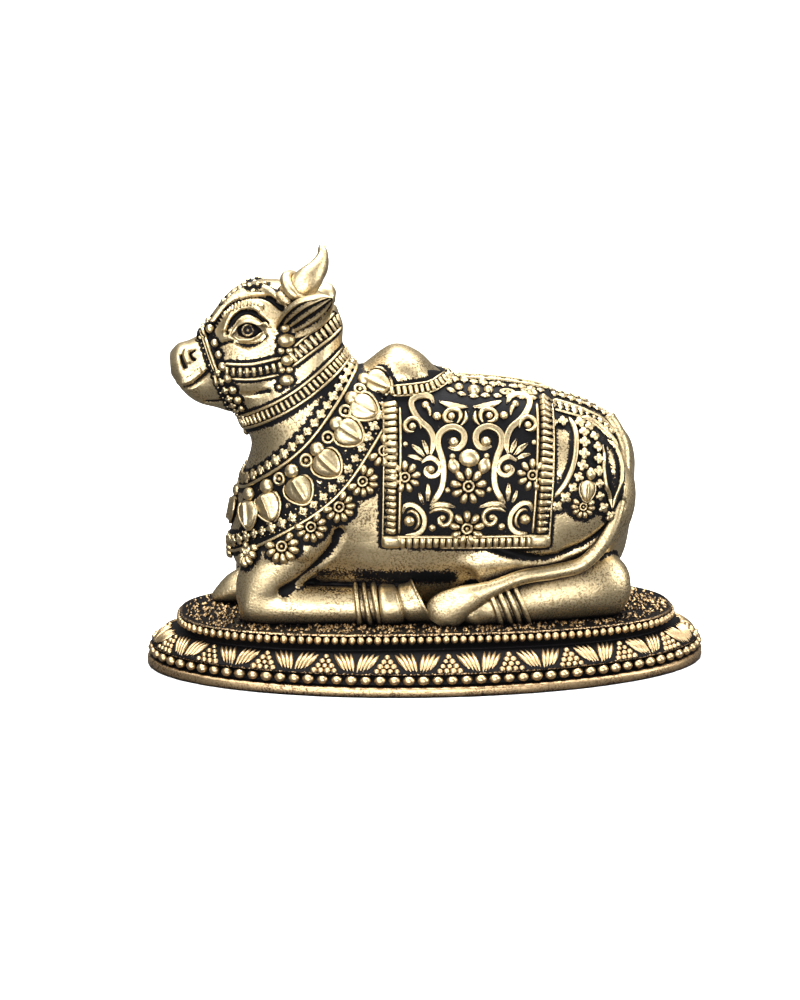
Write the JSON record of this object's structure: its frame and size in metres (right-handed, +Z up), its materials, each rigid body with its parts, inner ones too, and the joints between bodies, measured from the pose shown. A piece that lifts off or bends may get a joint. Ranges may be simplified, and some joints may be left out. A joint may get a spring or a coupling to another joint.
{
  "type": "nandi bull figure",
  "caption": "Seated humped bull in cast brass, dressed with bridle, necklace and saddle cloth, lying with folded legs on an oval lotus plinth.",
  "frame": {"origin": "middle of the plinth's underside", "axes": "+Z up, X along the plinth with the bull facing -X, Y across it with the tail and tuft on the -Y side"},
  "size_m": [0.0856, 0.043, 0.0643],
  "materials": {
    "plinth_brass": "lost-wax cast brass, antiqued, with worn bright edges and dark hollows",
    "figure_brass": "lost-wax cast brass, antiqued, with worn bright reliefs and dark hollows"
  },
  "bodies": {
    "root": {"oval_plinth": "plinth_brass", "nandi_bull": "figure_brass"}
  },
  "joints": []
}
